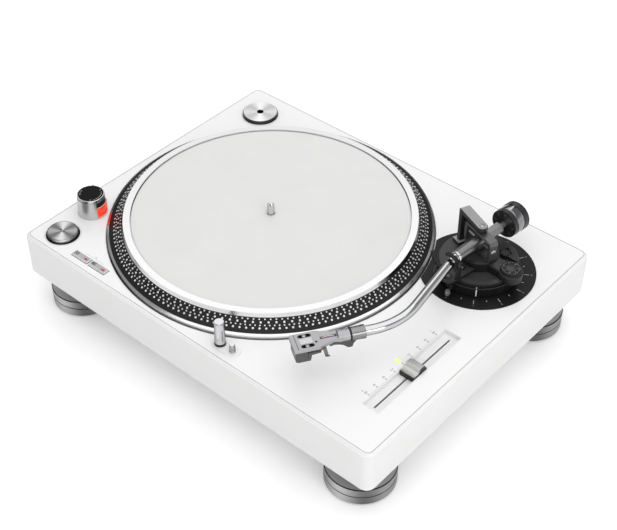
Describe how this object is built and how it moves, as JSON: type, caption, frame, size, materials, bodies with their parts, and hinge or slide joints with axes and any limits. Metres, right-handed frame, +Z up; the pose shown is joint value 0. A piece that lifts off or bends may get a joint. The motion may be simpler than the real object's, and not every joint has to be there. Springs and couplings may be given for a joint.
{
  "type": "dj turntable",
  "caption": "Direct-drive vinyl turntable with felt mat, S-shaped tonearm on a height-adjustable base, strobe tower, pitch fader, target light and screw feet.",
  "frame": {"origin": "centre of the bounding box at the floor, under the four feet", "axes": "+Z up, +X to the user's right along the longest side, +Y to the rear; the controls face -Y"},
  "size_m": [0.45, 0.366, 0.144],
  "materials": {
    "white_gloss": "moulded, glossy",
    "white_panel": "smooth, glossy",
    "plain_white": "satin",
    "cast_silver": "turned and polished",
    "felt": "felt",
    "polished_steel": "polished",
    "satin_silver": "satin",
    "silver_plastic": "satin silver paint",
    "dark_metal": "dark, brushed",
    "black_plastic": "satin",
    "red_lens": "clear red",
    "green_lens": "clear green",
    "circuit_board": "lacquered board",
    "copper": "wound wire",
    "magnet_grey": "ferrite",
    "screw_steel": "zinc plated",
    "brass_contact": "gold plated",
    "light_grey_metal": "bead blasted",
    "cartridge_grey": "satin",
    "weight_black": "knurled, black"
  },
  "bodies": {
    "deck": {"cabinet": "white_gloss", "top_panel": "white_panel", "bottom_cover": "black_plastic", "cover_screws": "screw_steel", "motor_stator": "copper", "bearing_sleeve": "brass_contact", "main_board": "circuit_board", "power_supply": "circuit_board", "terminal_panel": "black_plastic", "audio_jacks": "brass_contact", "power_inlet": "black_plastic", "hinge_sockets": "plain_white", "foot_sockets": "black_plastic", "arm_base": "white_panel", "start_surround": "black_plastic", "light_plate": "satin_silver", "fader_tray": "white_panel", "fader_rail": "black_plastic", "pitch_led": "green_lens", "strobe_tower": "silver_plastic", "strobe_window": "red_lens", "power_switch": "black_plastic", "control_board": "circuit_board"},
    "platter": {"platter": "cast_silver", "platter_mat": "felt", "spindle": "polished_steel", "rotor_magnet": "magnet_grey"},
    "power_dial": {"power_dial": "black_plastic"},
    "start_button": {"start_button": "satin_silver"},
    "speed_button_33": {"speed_button_33": "silver_plastic"},
    "speed_button_45": {"speed_button_45": "silver_plastic"},
    "target_light": {"target_light": "dark_metal"},
    "light_button": {"light_button": "dark_metal"},
    "pitch_fader": {"fader_knob": "silver_plastic", "fader_carriage": "black_plastic"},
    "adapter_45": {"adapter_45": "satin_silver"},
    "height_ring": {"height_ring": "plain_white"},
    "arm_platform": {"arm_platform": "light_grey_metal", "arm_yoke": "light_grey_metal", "antiskate_housing": "light_grey_metal", "arm_rest": "light_grey_metal"},
    "antiskate_dial": {"antiskate_dial": "satin_silver"},
    "lock_lever": {"lock_lever": "satin_silver"},
    "arm_clip": {"arm_clip": "silver_plastic"},
    "cue_lever": {"cue_lever": "polished_steel"},
    "arm_lifter": {"arm_lifter": "silver_plastic"},
    "gimbal": {"gimbal_ring": "light_grey_metal"},
    "tonearm": {"arm_shaft": "satin_silver", "arm_tube": "polished_steel"},
    "weight_dial": {"weight_dial": "black_plastic"},
    "counterweight": {"counterweight": "weight_black"},
    "locking_collar": {"locking_collar": "satin_silver"},
    "headshell": {"headshell": "light_grey_metal", "cartridge": "cartridge_grey", "stylus_holder": "cartridge_grey", "finger_lift": "polished_steel"},
    "foot_front_left": {"foot_front_left": "satin_silver"},
    "foot_front_right": {"foot_front_right": "satin_silver"},
    "foot_rear_left": {"foot_rear_left": "satin_silver"},
    "foot_rear_right": {"foot_rear_right": "satin_silver"}
  },
  "joints": [
    {"name": "platter_spin", "type": "hinge", "parent": "deck", "child": "platter", "pos_m": [-0.0454, -0.007, 0.103], "axis": [0, 0, 1], "continuous": true},
    {"name": "power_dial_turn", "type": "hinge", "parent": "deck", "child": "power_dial", "pos_m": [-0.1982, -0.1118, 0.1086], "axis": [0, 0, -1], "range_deg": [0, 45]},
    {"name": "start_press", "type": "slide", "parent": "deck", "child": "start_button", "axis": [0, 0, -1], "range_m": [0, 0.0015], "stiffness_N_per_m": 400, "springref_m": -0.0015},
    {"name": "speed_33_press", "type": "slide", "parent": "deck", "child": "speed_button_33", "axis": [0, 0, -1], "range_m": [0, 0.001], "stiffness_N_per_m": 400, "springref_m": -0.001},
    {"name": "speed_45_press", "type": "slide", "parent": "deck", "child": "speed_button_45", "axis": [0, 0, -1], "range_m": [0, 0.001], "stiffness_N_per_m": 400, "springref_m": -0.001},
    {"name": "target_light_press", "type": "slide", "parent": "deck", "child": "target_light", "axis": [0, 0, -1], "range_m": [0, 0.026], "stiffness_N_per_m": 25, "springref_m": -0.02},
    {"name": "light_button_press", "type": "slide", "parent": "deck", "child": "light_button", "axis": [0, 0, -1], "range_m": [0, 0.0015], "stiffness_N_per_m": 300, "springref_m": -0.001},
    {"name": "pitch_fader_slide", "type": "slide", "parent": "deck", "child": "pitch_fader", "axis": [0, -1, 0], "range_m": [-0.05, 0.05]},
    {"name": "adapter_lift_out", "type": "slide", "parent": "deck", "child": "adapter_45", "axis": [0, 0, 1], "range_m": [0, 0.05]},
    {"name": "height_ring_turn", "type": "hinge", "parent": "deck", "child": "height_ring", "pos_m": [0.15388, 0.07291, 0.0995], "axis": [0, 0, 1], "range_deg": [0, 180]},
    {"name": "height_lift", "type": "slide", "parent": "deck", "child": "arm_platform", "axis": [0, 0, 1], "range_m": [0, 0.006]},
    {"name": "antiskate_turn", "type": "hinge", "parent": "arm_platform", "child": "antiskate_dial", "pos_m": [0.19145, 0.07159, 0.113], "axis": [0, 0, -1], "range_deg": [0, 300]},
    {"name": "lock_lever_turn", "type": "hinge", "parent": "arm_platform", "child": "lock_lever", "pos_m": [0.17066, 0.09341, 0.1064], "axis": [0, 0, 1], "range_deg": [0, 50]},
    {"name": "arm_clip_open", "type": "hinge", "parent": "arm_platform", "child": "arm_clip", "pos_m": [0.15841, 0.03172, 0.1212], "axis": [0.0785, 0.9969, 0], "range_deg": [0, 90]},
    {"name": "cue_lever_lift", "type": "hinge", "parent": "arm_platform", "child": "cue_lever", "pos_m": [0.15501, 0.02868, 0.0978], "axis": [-0.9969, 0.0785, 0], "range_deg": [0, 30]},
    {"name": "arm_lifter_rise", "type": "slide", "parent": "arm_platform", "child": "arm_lifter", "axis": [0, 0, 1], "range_m": [0, 0.005]},
    {"name": "arm_swing", "type": "hinge", "parent": "arm_platform", "child": "gimbal", "pos_m": [0.15388, 0.07291, 0.126], "axis": [0, 0, -1], "range_deg": [0, 44]},
    {"name": "arm_tilt", "type": "hinge", "parent": "gimbal", "child": "tonearm", "pos_m": [0.15388, 0.07291, 0.126], "axis": [-0.9397, 0.342, 0], "range_deg": [-1.2, 3]},
    {"name": "weight_travel", "type": "slide", "parent": "tonearm", "child": "weight_dial", "axis": [-0.0872, -0.9962, 0], "range_m": [0, 0.005]},
    {"name": "counterweight_turn", "type": "hinge", "parent": "weight_dial", "child": "counterweight", "pos_m": [0.15388, 0.07291, 0.126], "axis": [-0.0872, -0.9962, 0], "range_deg": [0, 720]},
    {"name": "collar_turn", "type": "hinge", "parent": "tonearm", "child": "locking_collar", "pos_m": [0.13927, -0.11026, 0.126], "axis": [-0.5446, -0.8387, 0], "range_deg": [0, 60]},
    {"name": "headshell_pull", "type": "slide", "parent": "tonearm", "child": "headshell", "axis": [-0.5446, -0.8387, 0], "range_m": [0, 0.015]},
    {"name": "foot_front_left_screw", "type": "slide", "parent": "deck", "child": "foot_front_left", "axis": [0, 0, -1], "range_m": [0, 0.006]},
    {"name": "foot_front_right_screw", "type": "slide", "parent": "deck", "child": "foot_front_right", "axis": [0, 0, -1], "range_m": [0, 0.006]},
    {"name": "foot_rear_left_screw", "type": "slide", "parent": "deck", "child": "foot_rear_left", "axis": [0, 0, -1], "range_m": [0, 0.006]},
    {"name": "foot_rear_right_screw", "type": "slide", "parent": "deck", "child": "foot_rear_right", "axis": [0, 0, -1], "range_m": [0, 0.006]}
  ],
  "couplings": [
    {"joint": "height_ring_turn", "follows": "height_lift", "rad_per_m": 523.6},
    {"joint": "cue_lever_lift", "follows": "arm_lifter_rise", "rad_per_m": 104.72},
    {"joint": "counterweight_turn", "follows": "weight_travel", "rad_per_m": 2513.3}
  ]
}
